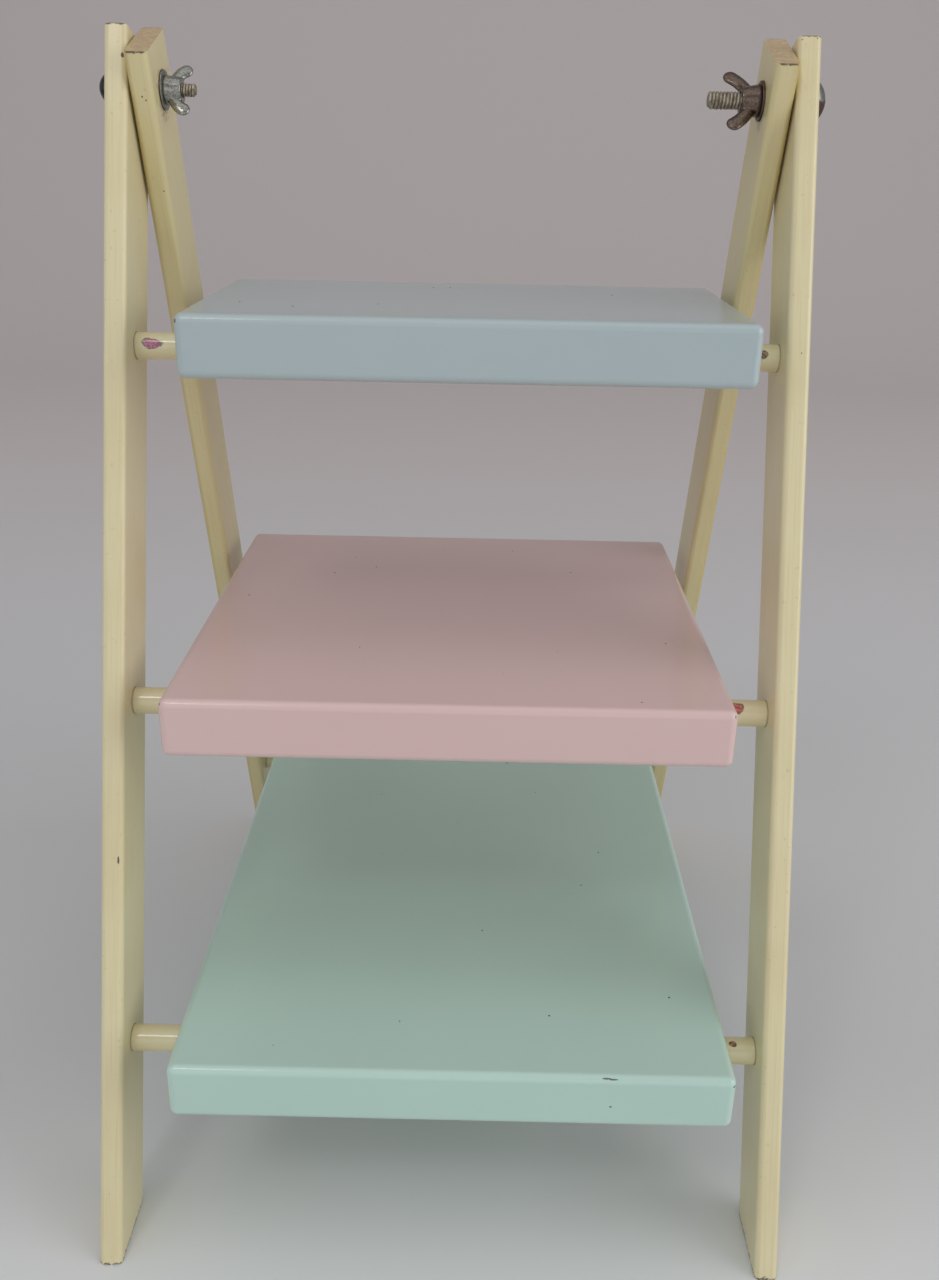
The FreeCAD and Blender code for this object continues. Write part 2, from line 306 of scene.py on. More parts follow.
# Nicks and scratches in the boards' front edges, in mm: the end or the middle plane they
# are measured from, how far in, back and down, and half sizes.
BOARD_NICKS = {
    "upper": (("left", 0.9, 0.9, 2.6, (0.6, 0.6, 0.8)),),
    "middle": (
        ("right", 1.2, 0.8, 1.5, (0.35, 0.5, 1.0)),
        ("left", 0.9, 0.9, 1.5, (0.3, 0.5, 0.6)),
    ),
    "lower": (("right", 0.9, 0.9, 3.0, (0.8, 0.8, 0.4)),),
}
BOARD_SCRATCHES = {
    "upper": (),
    "middle": (),
    "lower": (
        ("middle", 57.6, 0.9, 0.8, (1.6, 0.8, 0.2)),
        ("middle", 60.0, 0.8, 1.0, (1.6, 0.8, 0.2)),
        ("middle", 59.5, 0.0, 12.5, (0.5, 0.8, 0.3)),
    ),
}


def bare_wood():
    """Sawn or chipped wood: brown, dull, with fine lines along the leg."""
    finish = Finish("bare_wood")
    fine = finish.cloud(finish.stretched(finish.place, (900.0, 900.0, 90.0)), 1.0, 3.0)
    colour = finish.blend(BARE_WOOD, GRIME, fine.rise(0.45, 0.8))
    normal = finish.relief(fine, 0.15 * MM)
    return finish.surface(base_color=colour, roughness=0.85, normal=normal)


def leg_paint(name, feet, paint, crevice_x, marks, stains):
    """Cream paint, brushed along a leg, worn at the sawn ends.

    The crevice is the X of a rear leg's outer face, where painted shade and bounce light go, and
    None on a front leg.
    """
    finish = Finish(name)
    local = finish.turned(tuple(HINGE), (feet * LEAN, 0.0, 0.0))
    _, width, along = finish.axes(local)
    streaks = finish.cloud(finish.stretched(local, (1500.0, 1500.0, 30.0)), 1.0, 3.0)
    runs = finish.cloud(finish.stretched(local, (160.0, 160.0, 9.0)), 1.0, 2.0)
    patches = finish.cloud(finish.place, 22.0, 3.0)
    ragged = finish.cloud(finish.place, 620.0, 3.0)
    floor_height = finish.axes(finish.place)[2]

    colour = finish.blend(paint, CREAM_THIN, patches.rise(0.35, 0.8) * 0.35)
    colour = finish.blend(colour, CREAM_THIN, streaks.rise(0.45, 0.8) * 0.4)
    # Where the paint thins out over the sawn end's edges, wood and grime show.
    half = LEG_WIDTH / 2
    front_end = (width + half).beside(along - LEG_TOP_REACH)
    back_end = (width - half).beside(along - LEG_TOP_REACH)
    end_edge = front_end.least(back_end)
    worn_end = (end_edge + (ragged - 0.5) * (1.6 * MM)).fall(0.25 * MM, 0.75 * MM)
    end_face = along.rise(LEG_TOP_REACH - 0.2 * MM, LEG_TOP_REACH - 0.05 * MM)
    worn_foot = (floor_height + (ragged - 0.5) * (5.0 * MM)).fall(0.2 * MM, 1.0 * MM)
    nicks = finish.spots(marks, ragged=0.7)
    colour = finish.blend(colour, END_TAN, end_face * (ragged * 1.6))
    specks = finish.cloud(finish.place, 480.0, 2.0).rise(0.66, 0.76)
    colour = finish.blend(colour, END_TAN, specks * 0.28)
    for centre, radii in stains:
        stain = finish.spot(centre, radii, ragged=0.9, grain=420.0)
        colour = finish.blend(colour, RUST_STAIN, stain * 0.35)
    if crevice_x is not None:
        # Painted shade and bounce light: ochre where a rear leg's front edge runs close behind
        # its front leg.
        sideways = finish.axes(finish.place)[0]
        beside = (crevice_x - abs(sideways)).fall(0.4 * MM, 2.4 * MM)
        ahead = (width + half).fall(1.0 * MM, 4.0 * MM)
        colour = finish.blend(colour, PAINTED_CREVICE_SHADE, beside * ahead * 0.55)
    bare = worn_end.most(worn_foot).most(nicks)
    colour = finish.blend(colour, GRIME, bare * 0.85)

    brushed = finish.relief(streaks * 0.5 + runs, 0.10 * MM)
    chipped = finish.relief(1 - bare, 0.12 * MM, brushed)
    roughness = 0.34 + bare * 0.4 + patches * 0.1
    return finish.surface(
        base_color=colour, roughness=roughness, normal=chipped, coat_weight=0.3,
        coat_roughness=0.16,
    )


def rung_paint(name, chips, leg_face):
    """Glossy cream on a round rung, chipped through to older colours."""
    finish = Finish(name)
    sideways = finish.axes(finish.place)[0]
    streaks = finish.cloud(finish.stretched(finish.place, (40.0, 900.0, 900.0)), 1.0, 3.0)
    patches = finish.cloud(finish.place, 40.0, 3.0)
    colour = finish.blend(CREAM, CREAM_THIN, patches.rise(0.4, 0.8) * 0.4)
    bare = 0.0
    for centre, radii, shade in chips:
        chip = finish.spot(centre, radii, ragged=0.5, grain=420.0)
        within = [radius * 0.84 for radius in radii]
        heart = finish.spot(centre, within, ragged=0.5, grain=420.0)
        flecks = finish.cloud(finish.place, 1100.0, 3.0).rise(0.46, 0.58)
        colour = finish.blend(colour, GRIME, chip * 0.75)
        colour = finish.blend(colour, shade, heart)
        colour = finish.blend(colour, CREAM_THIN, heart * flecks * 0.4)
        bare = chip.most(bare)
    # Grime gathers in the ring where the rung enters its leg.
    ring = abs(sideways).rise(leg_face - 0.7 * MM, leg_face - 0.1 * MM)
    colour = finish.blend(colour, GRIME, ring * 0.5)
    brushed = finish.relief(streaks + patches * 2, 0.06 * MM)
    chipped = finish.relief(1 - bare, 0.15 * MM, brushed) if chips else brushed
    roughness = 0.26 + bare * 0.4
    return finish.surface(
        base_color=colour, roughness=roughness, normal=chipped, coat_weight=0.7,
        coat_roughness=0.08,
    )


def board_paint(name, node, paint, pale_tone_and_highlight, nicks, scratches):
    """Satin paint on a board, lighter over its edges as a painted highlight, with small nicks.
    """
    finish = Finish(name)
    low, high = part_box(node)
    middle = [(a + b) / 2 for a, b in zip(low, high)]
    half = [(b - a) / 2 for a, b in zip(low, high)]
    offset = finish.vector("SUBTRACT", finish.place, tuple(middle))
    depths = [h - abs(axis) for h, axis in zip(half, finish.axes(offset))]
    deep, flat, thick = depths
    nearest = deep.least(flat).least(thick)
    farthest = deep.most(flat).most(thick)
    edge = deep + flat + thick - nearest - farthest

    patches = finish.cloud(finish.place, 14.0, 3.0)
    roller = finish.cloud(finish.place, 1100.0, 2.0)
    strokes = finish.cloud(finish.stretched(finish.place, (16.0, 420.0, 420.0)), 1.0, 3.0)
    sags = finish.cloud(finish.place, 32.0, 1.0)
    # Painted highlight: the paint is lighter along the board's edges.
    colour = finish.blend(paint, pale_tone_and_highlight, edge.fall(0.4 * MM, 3.0 * MM) * 0.2)
    colour = finish.blend(colour, pale_tone_and_highlight, patches.rise(0.3, 0.8) * 0.15)
    bare = finish.spots(nicks, ragged=0.7, grain=700.0)
    for centre, radii in scratches:
        bare = finish.spot(centre, radii, ragged=0.35, grain=500.0).most(bare)
    colour = finish.blend(colour, GRIME, bare * 0.8)

    smooth = finish.relief(sags, 0.30 * MM)
    dimples = finish.relief(finish.cloud(finish.place, 150.0, 2.0), 0.05 * MM, smooth)
    stroked = finish.relief(strokes, 0.04 * MM, dimples)
    peel = finish.relief(roller, 0.018 * MM, stroked)
    chipped = finish.relief(1 - bare, 0.15 * MM, peel)
    roughness = 0.32 + patches * 0.1 + bare * 0.4
    return finish.surface(
        base_color=colour, roughness=roughness, normal=chipped, coat_weight=0.7,
        coat_roughness=0.13,
    )


ZINC = (tone(164, 164, 158), tone(120, 119, 112))
BLACKED = (tone(74, 71, 74), tone(50, 47, 48))
BROWNED = (tone(118, 104, 94), tone(88, 74, 64))
THREAD_BRIGHT = tone(196, 186, 168)
THREAD_DULL = tone(146, 132, 114)
RUST = tone(82, 50, 36)
RUST_DARK = tone(48, 33, 28)

# How each piece of steel has aged: its plate, how far rust reaches from the side of the
# leg, the share of scattered rust, and the plate's roughness.
HEAD_WEAR = {"left": (BLACKED, 0.5 * MM, 0.0, 0.08), "right": (ZINC, 0.5 * MM, 0.12, 0.22)}
WASHER_WEAR = {"left": (ZINC, 0.6 * MM, 0.16, 0.36), "right": (BROWNED, 0.6 * MM, 0.16, 0.36)}
NUT_WEAR = {"left": (ZINC, 0.1 * MM, 0.0, 0.2), "right": (BROWNED, 1.2 * MM, 0.24, 0.2)}
THREAD_GREASE = {"left": 0.35, "right": 0.3}
# The right head is rusted through below this height.
HEAD_RUST_BELOW = {"left": None, "right": HINGE.z + 0.5 * MM}


def plated_steel(name, wear, base_x, rust_below=None):
    """Steel whose plate has dulled, with rust from the leg's side or below a height."""
    plate, rust_reach, rust_share, polish = wear
    finish = Finish(name)
    sideways = finish.axes(finish.place)[0]
    fine = finish.cloud(finish.place, 1400.0, 4.0)
    patches = finish.cloud(finish.place, 260.0, 4.0, 0.6)
    away = abs(sideways - base_x)
    near_leg = (away + (patches - 0.5) * rust_reach * 2).fall(rust_reach * 0.6, rust_reach)
    scattered = patches.rise(0.72 - rust_share * 0.5, 0.80 - rust_share * 0.5)
    rusty = near_leg.most(scattered)
    if rust_below is not None:
        height = finish.axes(finish.place)[2] + (patches - 0.5) * (6.0 * MM)
        rusty = rusty.most(height.fall(rust_below - 0.6 * MM, rust_below + 0.6 * MM))
    metal = finish.blend(*plate, fine.rise(0.35, 0.75))
    oxide = finish.blend(RUST, RUST_DARK, finish.cloud(finish.place, 700.0, 3.0))
    colour = finish.blend(metal, oxide, rusty)
    roughness = polish + fine * 0.14 + rusty * 0.3
    normal = finish.relief(fine * 0.1 + rusty, 0.015 * MM)
    return finish.surface(
        base_color=colour, roughness=roughness, metallic=1 - rusty * 0.85, normal=normal
    )


def thread_steel(name, radius, grease_share):
    """A bolt's thread: bright crests, and grime in the grooves."""
    finish = Finish(name)
    offset = finish.vector("SUBTRACT", finish.place, tuple(HINGE))
    _, deep, high = finish.axes(offset)
    reach = deep.beside(high)
    groove = reach.fall(radius - 0.5 * MM, radius - 0.15 * MM)
    patches = finish.cloud(finish.place, 500.0, 4.0)
    metal = finish.blend(THREAD_BRIGHT, THREAD_DULL, patches.rise(0.3, 0.7))
    grease = groove * grease_share + patches.rise(0.6, 0.8) * 0.2
    colour = finish.blend(metal, RUST_DARK, grease)
    roughness = 0.4 + patches * 0.2 + groove * 0.2
    return finish.surface(
        base_color=colour, roughness=roughness, metallic=0.9 - groove * 0.4,
        normal=finish.relief(patches, 0.03 * MM),
    )


def dust_nib():
    """A speck of dust caught in the paint."""
    finish = Finish("dust_nib")
    patches = finish.cloud(finish.place, 2000.0)
    colour = finish.blend(tone(70, 52, 46), tone(38, 30, 28), patches)
    return finish.surface(base_color=colour, roughness=0.6)


# ---- mesh making -----------------------------------------------------------


def piece_from(name, shape, *materials):
    """A new object at the origin from a bmesh."""
    bmesh.ops.recalc_face_normals(shape, faces=shape.faces)
    mesh = bpy.data.meshes.new(name)
    shape.to_mesh(mesh)
    shape.free()
    for material in materials:
        mesh.materials.append(material)
    piece = bpy.data.objects.new(name, mesh)
    bpy.context.scene.collection.objects.link(piece)
    return piece


def settle(piece):
    """Turn a piece and its live modifiers into one plain mesh."""
    graph = bpy.context.evaluated_depsgraph_get()
    graph.update()
    mesh = bpy.data.meshes.new_from_object(piece.evaluated_get(graph))
    piece.modifiers.clear()
    piece.data = mesh


def smooth(piece, angle=35.0):
    """Smooth shading that keeps flat faces flat and edges over the angle sharp."""
    mesh = piece.data
    mesh.shade_smooth()
    mesh.set_sharp_from_angle(angle=math.radians(angle))
    weighted = piece.modifiers.new("even_normals", "WEIGHTED_NORMAL")
    weighted.keep_sharp = True
    settle(piece)


def middle_of(node):
    """The centre of a node's box."""
    low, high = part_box(node)
    return Vector([(a + b) / 2 for a, b in zip(low, high)])


def adopt(piece, node):
    """The piece stands for a node: it rides on its body, and the node's own part is hidden."""
    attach(piece, BODY_OF[node])
    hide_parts(node)


def remove(piece):
    bpy.data.objects.remove(piece, do_unlink=True)


def prism(outline, x_low, x_high):
    """A closed prism along X over an outline of (y, z) points."""
    shape = bmesh.new()
    corners = [shape.verts.new((x_low, y, z)) for y, z in outline]
    face = shape.faces.new(corners)
    far_end = bmesh.ops.extrude_face_region(shape, geom=[face])["geom"]
    moved = [item for item in far_end if isinstance(item, bmesh.types.BMVert)]
    bmesh.ops.translate(shape, vec=(x_high - x_low, 0, 0), verts=moved)
    bmesh.ops.recalc_face_normals(shape, faces=shape.faces)
    return shape


def round_edges(shape, radius, segments, wanted):
    """Round the edges that the test picks out."""
    edges = [edge for edge in shape.edges if wanted(edge)]
    bmesh.ops.bevel(
        shape, geom=edges, offset=radius, offset_type="OFFSET", segments=segments,
        profile=0.5, affect="EDGES", clamp_overlap=True,
    )


def turned_solid(shape, profile, frame_of, segments=64):
    """A round solid over (along, radius) points, closed at both ends."""
    rings = []
    for along, radius in profile:
        if radius < NEAR:
            rings.append([shape.verts.new(frame_of @ Vector((0, 0, along)))])
            continue
        ring = []
        for step in range(segments):
            angle = 2 * math.pi * step / segments
            point = Vector((radius * math.cos(angle), radius * math.sin(angle), along))
            ring.append(shape.verts.new(frame_of @ point))
        rings.append(ring)
    for first, second in zip(rings, rings[1:]):
        for step in range(segments):
            following = (step + 1) % segments
            corners = [
                first[step % len(first)], first[following % len(first)],
                second[following % len(second)], second[step % len(second)],
            ]
            shape.faces.new(list(dict.fromkeys(corners)))
    return rings


def lump(shape, centre, radii, seed, roughness=0.35):
    """A rough pebble, used to bite a chip out of an edge."""
    made = bmesh.ops.create_icosphere(shape, subdivisions=3, radius=1.0)["verts"]
    shift = Vector((seed * 7.3, seed * 3.1, seed * 5.7))
    for vert in made:
        swell = 1 + roughness * noise.noise(vert.co * 1.8 + shift)
        vert.co = Vector(centre) + Vector(
            (vert.co.x * radii[0], vert.co.y * radii[1], vert.co.z * radii[2])
        ) * swell


def clear_slivers(piece):
    """Merge the corners that a cut leaves almost on top of each other."""
    shape = bmesh.new()
    shape.from_mesh(piece.data)
    bmesh.ops.remove_doubles(shape, verts=shape.verts, dist=NEAR)
    bmesh.ops.dissolve_degenerate(shape, edges=shape.edges, dist=NEAR)
    wide = [face for face in shape.faces if len(face.verts) > 4]
    bmesh.ops.triangulate(shape, faces=wide, ngon_method="BEAUTY")
    bmesh.ops.dissolve_degenerate(shape, edges=shape.edges, dist=NEAR)
    shape.to_mesh(piece.data)
    shape.free()


def carve(piece, cutter):
    """Take the cutter's solids out of the piece; the cut faces keep its material."""
    cut = piece.modifiers.new("carve", "BOOLEAN")
    cut.operation = "DIFFERENCE"
    cut.solver = "EXACT"
    cut.use_self = True
    cut.material_mode = "TRANSFER"
    cut.object = cutter
    settle(piece)
    remove(cutter)
    clear_slivers(piece)


# ---- the frames ------------------------------------------------------------

WOOD = bare_wood()


def leg_point(feet, across, along):
    """A leg's own (across, along) as (y, z); along is up from the hinge."""
    turn = feet * LEAN
    y = across * math.cos(turn) - along * math.sin(turn)
    z = across * math.sin(turn) + along * math.cos(turn)
    return HINGE.y + y, HINGE.z + z


def on_floor(feet, across):
    """How far along a leg its cut foot is, for a place across it."""
    turn = feet * LEAN
    return -(HINGE.z + across * math.sin(turn)) / math.cos(turn)


def leg_outline(feet):
    half = LEG_WIDTH / 2
    return [
        leg_point(feet, -half, on_floor(feet, -half)),
        leg_point(feet, half, on_floor(feet, half)),
        leg_point(feet, half, LEG_TOP_REACH),
        leg_point(feet, -half, LEG_TOP_REACH),
    ]


def is_on_end(vert, feet):
    """True for a corner in the plane of a leg's sawn top or foot."""
    turn = feet * LEAN
    along = (vert.co.z - HINGE.z) * math.cos(turn) - (vert.co.y - HINGE.y) * math.sin(turn)
    return vert.co.z < NEAR or abs(along - LEG_TOP_REACH) < NEAR


def make_leg(node_frame, side, material, seed):
    """A leg with rounded long edges, sawn ends, drilled holes and chipped feet."""
    node = f"{node_frame}_leg_{side}"
    feet = FRAMES[node_frame]
    low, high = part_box(node)
    shape = prism(leg_outline(feet), low[0], high[0])

    def is_long(edge):
        return edge.calc_length() > 2 * LEG_WIDTH

    def is_sawn(edge):
        return not is_long(edge) and all(is_on_end(vert, feet) for vert in edge.verts)

    round_edges(shape, LEG_EDGE_ROUND, 6, is_long)
    round_edges(shape, SAWN_EDGE_ROUND, 2, is_sawn)
    piece = piece_from(f"{node}_painted", shape, material)

    cutter = bmesh.new()
    outward = SIDES[side]
    inner = face_of(node, side, inner=True)
    across_x = Matrix.Rotation(math.radians(90), 4, "Y")
    hole_radius = THREAD_RADIUS[side] + HOLE_CLEARANCE
    start, length = low[0] - 1 * MM, high[0] - low[0] + 2 * MM
    drill(cutter, (start, HINGE.y, HINGE.z), length, hole_radius, across_x)
    for level in LEVELS:
        _, y, z = middle_of(f"{node_frame}_rung_{level}")
        ends = sorted((inner - outward * 1 * MM, inner + outward * SOCKET_DEPTH))
        drill(cutter, (ends[0], y, z), ends[1] - ends[0], SOCKET_RADIUS, across_x)
    chip_foot(cutter, low, high, feet, seed)
    carve(piece, piece_from("leg_cutter", cutter, WOOD))
    smooth(piece)
    adopt(piece, node)


def drill(shape, start, length, radius, turn):
    """A round hole's solid from a start point along the turned Z."""
    place = Matrix.Translation(Vector(start)) @ turn
    rings = turned_solid(shape, [(0.0, radius), (length, radius)], place, 48)
    shape.faces.new(rings[0])
    shape.faces.new(rings[-1])


def chip_foot(shape, low, high, feet, seed):
    """Small bites out of the lower edges of a foot."""
    draw = random.Random(seed)
    tip = low[1] if feet < 0 else high[1]
    for number in range(4):
        x = draw.uniform(low[0] + 1.5 * MM, high[0] - 1.5 * MM)
        size = draw.uniform(0.5, 1.1) * MM
        y = tip + draw.uniform(-0.2, 0.3) * MM
        lump(shape, (x, y, 0.0), (size * 1.4, size, size * 0.9), seed + number)
    for number in range(3):
        x = draw.choice((low[0], high[0]))
        y = tip - feet * draw.uniform(4, 26) * MM
        size = draw.uniform(0.4, 0.9) * MM
        lump(shape, (x, y, 0.0), (size * 0.8, size * 1.8, size), seed + 10 + number)


def make_rung(node_frame, level, material, seed):
    """A dowel with slightly uneven paint, eased at its hidden ends."""
    node = f"{node_frame}_rung_{level}"
    low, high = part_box(node)
    centre = middle_of(node)
    half = (high[0] - low[0]) / 2
    eased = RUNG_RADIUS - RUNG_CHAMFER
    profile = [(-half, 0.0), (-half, eased), (-half + RUNG_CHAMFER, RUNG_RADIUS)]
    reach = half - 1.5 * RUNG_CHAMFER
    steps = 90
    profile += [(-reach + 2 * reach * k / steps, RUNG_RADIUS) for k in range(steps + 1)]
    profile += [(half - RUNG_CHAMFER, RUNG_RADIUS), (half, eased), (half, 0.0)]
    shape = bmesh.new()
    turn = Matrix.Rotation(math.radians(90), 4, "Y")
    turned_solid(shape, profile, Matrix.Translation(centre) @ turn, 64)
    for vert in shape.verts:
        if abs(vert.co.x - centre.x) < half - SOCKET_DEPTH:
            spread = vert.co - Vector((vert.co.x, centre.y, centre.z))
            dip = 0.5 + 0.5 * noise.noise(vert.co * 90 + Vector((seed, 0, 0)))
            vert.co -= spread * RUNG_DIP * dip
    piece = piece_from(f"{node}_painted", shape, material)
    smooth(piece, 50)
    adopt(piece, node)


# ---- the boards ------------------------------------------------------------


def board_outline(node, level):
    """A board's side view: a rectangle with a round-topped groove for the front rung."""
    low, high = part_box(node)
    _, groove_y, groove_z = middle_of(f"front_rung_{level}")
    points = [(low[1], high[2]), (low[1], low[2]), (groove_y - GROOVE_RADIUS, low[2])]
    steps = 16
    for step in range(steps + 1):
        angle = math.pi * (1 - step / steps)
        y = groove_y + GROOVE_RADIUS * math.cos(angle)
        z = groove_z + GROOVE_RADIUS * math.sin(angle)
        points.append((y, z))
    points += [(groove_y + GROOVE_RADIUS, low[2]), (high[1], low[2]), (high[1], high[2])]
    return points


def make_board(level, material):
    """A board with softened edges and its groove."""
    node = f"tray_{level}"
    low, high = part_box(node)
    shape = prism(board_outline(node, level), low[0], high[0])

    def is_outer(edge):
        return all(is_corner(vert.co) for vert in edge.verts)

    def is_corner(co):
        ends = (low[1], high[1])
        heights = (low[2], high[2])
        at_end = min(abs(co.y - y) for y in ends) < NEAR
        at_height = min(abs(co.z - z) for z in heights) < NEAR
        return at_end and at_height

    def is_side_edge(edge):
        """Edges of the two side faces along the underside, which meet the groove."""
        first, second = edge.verts
        same_side = abs(first.co.x - second.co.x) < NEAR
        return same_side and all(abs(v.co.z - low[2]) < NEAR for v in edge.verts)

    round_edges(shape, TRAY_EDGE_ROUND, 7, lambda edge: is_outer(edge) or is_side_edge(edge))
    piece = piece_from(f"{node}_painted", shape, material)
    smooth(piece)
    adopt(piece, node)
    return piece


# ---- bolts, washers and wing nuts ------------------------------------------


def bolt_axes(side, start_x, turn=0.0):
    """The axes of a piece on a bolt: Z inwards along it from start_x."""
    inward = Matrix.Rotation(math.radians(-90 * SIDES[side]), 4, "Y")
    spin = Matrix.Rotation(turn, 4, "Z")
    return Matrix.Translation(Vector((start_x, HINGE.y, HINGE.z))) @ inward @ spin


def face_of(node, side, inner):
    """The X of a node's face that looks to the middle, or away from it."""
    low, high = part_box(node)
    takes_high = (SIDES[side] < 0) == inner
    return high[0] if takes_high else low[0]


class Network:
    """A Geometry Nodes tree that is being written, with named inputs."""

    def __init__(self, name, sizes):
        self.tree = bpy.data.node_groups.new(name, "GeometryNodeTree")
        face = self.tree.interface
        face.new_socket("Geometry", in_out="INPUT", socket_type="NodeSocketGeometry")
        for label, kind in sizes.items():
            face.new_socket(label, in_out="INPUT", socket_type=kind)
        face.new_socket("Geometry", in_out="OUTPUT", socket_type="NodeSocketGeometry")
        self.given = self.tree.nodes.new("NodeGroupInput").outputs
        self.result = self.tree.nodes.new("NodeGroupOutput").inputs[0]

    def node(self, kind, settings=None, inputs=None, output=0):
        made = self.tree.nodes.new(kind)
        for key, value in (settings or {}).items():
            setattr(made, key, value)
        for key, value in (inputs or {}).items():
            self.feed(made.inputs[key], value)
        return made.outputs[output]

    def feed(self, socket, value):
        if isinstance(value, bpy.types.NodeSocket):
            self.tree.links.new(value, socket)
        else:
            socket.default_value = value

    def put_on(self, piece, values):
        """Run the tree on a piece with these input values, and keep the result."""
        modifier = piece.modifiers.new(self.tree.name, "NODES")
        modifier.node_group = self.tree
        for item in self.tree.interface.items_tree:
            if item.in_out == "INPUT" and item.name in values:
                modifier[item.identifier] = values[item.name]
        settle(piece)


def thread_network():
    """A ridge wound along a helix, added to the shank that it is run on.

    The ridge starts at the origin and winds up +Z.
    """
    numbers = ("Ridge Radius", "Turns", "Length", "Ridge Width", "Ridge Depth")
    sizes = {**dict.fromkeys(numbers, "NodeSocketFloat"), "Metal": "NodeSocketMaterial"}
    net = Network("wound_thread", sizes)
    given = net.given
    helix = net.node("GeometryNodeCurveSpiral", None, {
        "Resolution": 40,
        "Rotations": given["Turns"],
        "Start Radius": given["Ridge Radius"],
        "End Radius": given["Ridge Radius"],
        "Height": given["Length"],
    })
    upright = net.node("GeometryNodeSetCurveNormal", None, {"Curve": helix})
    halved = {0: given["Ridge Width"], 1: 0.5}
    half_width = net.node("ShaderNodeMath", {"operation": "MULTIPLY"}, halved)
    section = net.node("GeometryNodeCurvePrimitiveQuadrilateral", {"mode": "KITE"}, {
        "Width": given["Ridge Depth"],
        "Bottom Height": half_width,
        "Top Height": half_width,
    })
    ridge = net.node("GeometryNodeCurveToMesh", None, {
        "Curve": upright,
        "Profile Curve": section,
        "Fill Caps": True,
    })
    both = net.tree.nodes.new("GeometryNodeJoinGeometry")
    net.tree.links.new(given["Geometry"], both.inputs[0])
    net.tree.links.new(ridge, both.inputs[0])
    plain = net.node("GeometryNodeRealizeInstances", None, {0: both.outputs[0]})
    named = net.node("GeometryNodeSetMaterial", None, {0: plain, "Material": given["Metal"]})
    net.feed(net.result, named)
    return net


def nib_network():
    """Specks of dust scattered over a board's top face, half sunk in the paint."""
    sizes = {
        **dict.fromkeys(("Density", "Smallest", "Largest"), "NodeSocketFloat"),
        "Seed": "NodeSocketInt", "Speck": "NodeSocketMaterial",
    }
    net = Network("scattered_nibs", sizes)
    given = net.given
    normal = net.node("GeometryNodeInputNormal")
    height = net.node("ShaderNodeSeparateXYZ", None, {0: normal}, "Z")
    is_top = net.node("FunctionNodeCompare", {"operation": "GREATER_THAN"}, {0: height, 1: 0.99})
    points = net.node("GeometryNodeDistributePointsOnFaces", None, {
        "Mesh": given["Geometry"],
        "Selection": is_top,
        "Density": given["Density"],
        "Seed": given["Seed"],
    })
    speck = net.node("GeometryNodeMeshIcoSphere", None, {"Radius": 1.0, "Subdivisions": 2})
    size = net.node("FunctionNodeRandomValue", {"data_type": "FLOAT"}, {
        "Min": given["Smallest"],
        "Max": given["Largest"],
        "Seed": given["Seed"],
    }, 1)
    squat = net.node("ShaderNodeCombineXYZ", None, {0: size, 1: size, 2: NIB_HEIGHT})
    copies = net.node("GeometryNodeInstanceOnPoints", None, {
        "Points": points,
        "Instance": speck,
        "Scale": squat,
    })
    painted = net.node("GeometryNodeSetMaterial", None, {0: copies, "Material": given["Speck"]})
    plain = net.node("GeometryNodeRealizeInstances", None, {0: painted})
    net.feed(net.result, plain)
    return net


def make_bolt(side, head_material, thread_material):
    """A cup head on a square neck, and a shank with a wound thread."""
    node = f"pivot_bolt_{side}"
    face_x = face_of(f"front_leg_{side}", side, inner=False)
    low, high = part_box(node)
    head_radius = (high[2] - low[2]) / 2
    head_height = abs(face_of(node, side, inner=False) - face_x)
    length = abs(face_of(node, side, inner=True) - face_x)
    axes = bolt_axes(side, face_x)

    rim = 0.7 * MM
    dome = head_height - rim
    dome_radius = (head_radius**2 + dome**2) / (2 * dome)
    spread = math.asin(head_radius / dome_radius)
    steps = 18
    profile = []
    for step in range(steps + 1):
        angle = spread * step / steps
        drop = dome_radius * (1 - math.cos(angle))
        profile.append((-head_height + drop, dome_radius * math.sin(angle)))
    profile += [(-0.15 * MM, head_radius), (0.0, head_radius - 0.15 * MM), (0.0, 0.0)]
    head = bmesh.new()
    turned_solid(head, profile, axes, 72)
    neck_half = THREAD_RADIUS[side]
    square = [(-neck_half, -neck_half), (neck_half, -neck_half),
              (neck_half, neck_half), (-neck_half, neck_half)]
    neck = prism(square, 0.0, NECK_LENGTH)
    round_edges(neck, 0.3 * MM, 3, lambda edge: edge.calc_length() > NECK_LENGTH * 0.99)
    lean = Matrix.Rotation(-SIDES[side] * FRAMES["front"] * LEAN, 4, "Z")
    upright = Matrix.Rotation(math.radians(-90), 4, "Y")
    neck.transform(axes @ lean @ upright)
    neck_mesh = bpy.data.meshes.new("neck")
    neck.to_mesh(neck_mesh)
    neck.free()
    head.from_mesh(neck_mesh)
    bpy.data.meshes.remove(neck_mesh)
    head_piece = piece_from(f"{node}_head", head, head_material)
    smooth(head_piece, 40)

    pitch = THREAD_PITCH[side]
    ridge = pitch * 0.54
    core = THREAD_RADIUS[side] - ridge
    plain_length = NECK_LENGTH + 4 * MM
    shank = bmesh.new()
    turned_solid(shank, [
        (0.1 * MM, 0.0),
        (0.1 * MM, core),
        (length - TIP_CHAMFER, core),
        (length, core - 0.4 * MM),
        (length, 0.0),
    ], Matrix(), 48)
    shank_piece = piece_from(f"{node}_shank", shank, thread_material)
    smooth(shank_piece, 30)
    for vert in shank_piece.data.vertices:
        vert.co.z -= plain_length
    wound = length - TIP_CHAMFER * 0.6 - plain_length
    THREAD.put_on(shank_piece, {
        "Ridge Radius": core,
        "Turns": wound / pitch,
        "Length": wound,
        "Ridge Width": pitch * 0.96,
        "Ridge Depth": ridge * 2,
        "Metal": thread_material,
    })
    shank_piece.data.transform(axes @ Matrix.Translation((0, 0, plain_length)))
    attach(shank_piece, BODY_OF[node])
    adopt(head_piece, node)


